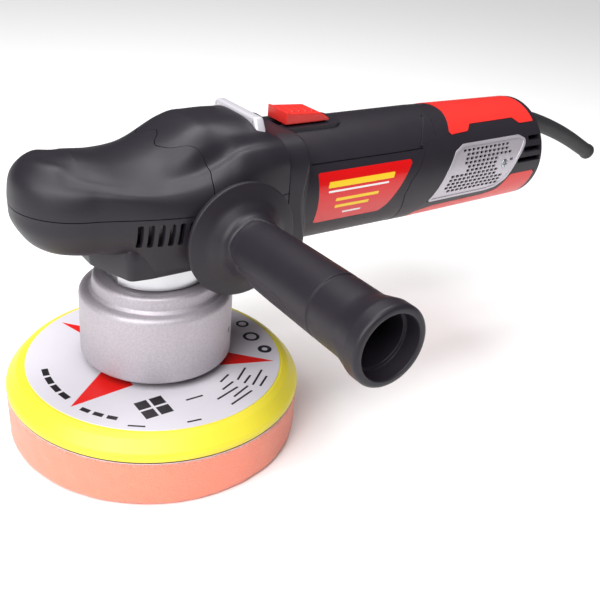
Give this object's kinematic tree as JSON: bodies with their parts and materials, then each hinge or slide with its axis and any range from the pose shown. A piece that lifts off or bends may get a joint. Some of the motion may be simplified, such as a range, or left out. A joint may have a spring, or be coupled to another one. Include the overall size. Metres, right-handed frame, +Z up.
{
  "type": "dual action polisher",
  "caption": "Corded dual action polisher with a long barrel body, side handle, slide switch, counterweight cup and round foam pad on a free eccentric spindle.",
  "frame": {"origin": "on the main spindle's axis, at the foam pad's working face", "axes": "+Z up along the main spindle, +X towards the cord end of the body, side handle towards -Y"},
  "size_m": [0.4076, 0.224, 0.1639],
  "materials": {
    "cover_plastic": "satin moulded black nylon",
    "grip_rubber": "soft-touch over-moulded rubber",
    "red_plastic": "satin red moulding",
    "sticker": "printed film",
    "cast_alloy": "speckled as-cast alloy",
    "case_aluminium": "die-cast",
    "machined_steel": "turned bright",
    "steel": "ground",
    "gear_steel": "hardened",
    "trim_silver": "silver paint",
    "grille_silver": "silver paint",
    "laminations": "varnished sheet stack",
    "copper": "enamelled wire",
    "brass": "bright",
    "carbon": "matt carbon",
    "inner_plastic": "moulded",
    "white_plastic": "moulded",
    "circuit": "resin board",
    "guard_rubber": "moulded",
    "plate_foam": "moulded urethane",
    "label_film": "printed film",
    "hook_fabric": "hook and loop",
    "foam": "open-cell foam"
  },
  "bodies": {
    "housing": {"palm_cover": "grip_rubber", "head_top_cover": "cover_plastic", "head_lower_cover": "cover_plastic", "gear_case": "case_aluminium", "bearing_retainer": "machined_steel", "spindle_lower_bearing": "steel", "spindle_upper_bush": "brass", "top_trim_bar": "trim_silver", "case_screws": "steel", "handle_grip": "cover_plastic", "handle_stud": "steel", "motor_housing": "cover_plastic", "body_sticker": "sticker", "air_baffle": "inner_plastic", "stator_core": "laminations", "field_coils": "copper", "front_armature_bearing": "steel", "rear_armature_bearing": "steel", "rear_bearing_bracket": "inner_plastic", "brush_holders": "brass", "carbon_brushes": "carbon", "brush_springs": "steel", "rear_housing": "cover_plastic", "rear_top_cover": "red_plastic", "rear_bottom_cover": "red_plastic", "left_grille": "grille_silver", "right_grille": "grille_silver", "grille_screws": "steel", "switch_body": "inner_plastic", "speed_module": "circuit", "cord_clamp": "inner_plastic", "clamp_screws": "steel", "cord_guard": "guard_rubber"},
    "switch": {"switch_slider": "red_plastic", "switch_link": "white_plastic"},
    "dial": {"speed_dial": "inner_plastic"},
    "armature": {"armature_shaft": "steel", "armature_core": "laminations", "armature_windings": "copper", "commutator": "copper", "cooling_fan": "white_plastic", "pinion": "gear_steel"},
    "drive_spindle": {"spindle": "steel", "bevel_gear": "gear_steel", "gear_nut": "steel", "counterweight_cup": "cast_alloy", "counterweight": "gear_steel", "eccentric_bearings": "steel", "bearing_circlip": "steel"},
    "pad": {"pad_spindle": "steel", "pad_washer": "steel", "pad_hub": "steel", "backing_plate": "plate_foam", "plate_label": "label_film", "hook_disc": "hook_fabric", "foam_pad": "foam"}
  },
  "joints": [
    {"name": "spindle_spin", "type": "hinge", "parent": "housing", "child": "drive_spindle", "pos_m": [0, 0, 0.09], "axis": [0, 0, 1], "continuous": true},
    {"name": "armature_spin", "type": "hinge", "parent": "housing", "child": "armature", "pos_m": [0.1, 0, 0.1225], "axis": [1, 0, 0], "continuous": true},
    {"name": "pad_spin", "type": "hinge", "parent": "drive_spindle", "child": "pad", "pos_m": [-0.00151, -0.00199, 0.05], "axis": [0, 0, 1], "continuous": true},
    {"name": "switch_slide", "type": "slide", "parent": "housing", "child": "switch", "axis": [-1, 0, 0], "range_m": [0, 0.007]},
    {"name": "dial_turn", "type": "hinge", "parent": "housing", "child": "dial", "pos_m": [0.2335, 0, 0.1085], "axis": [0, 1, 0], "range_deg": [0, 270]}
  ],
  "couplings": [
    {"joint": "armature_spin", "follows": "spindle_spin", "ratio": 4}
  ]
}
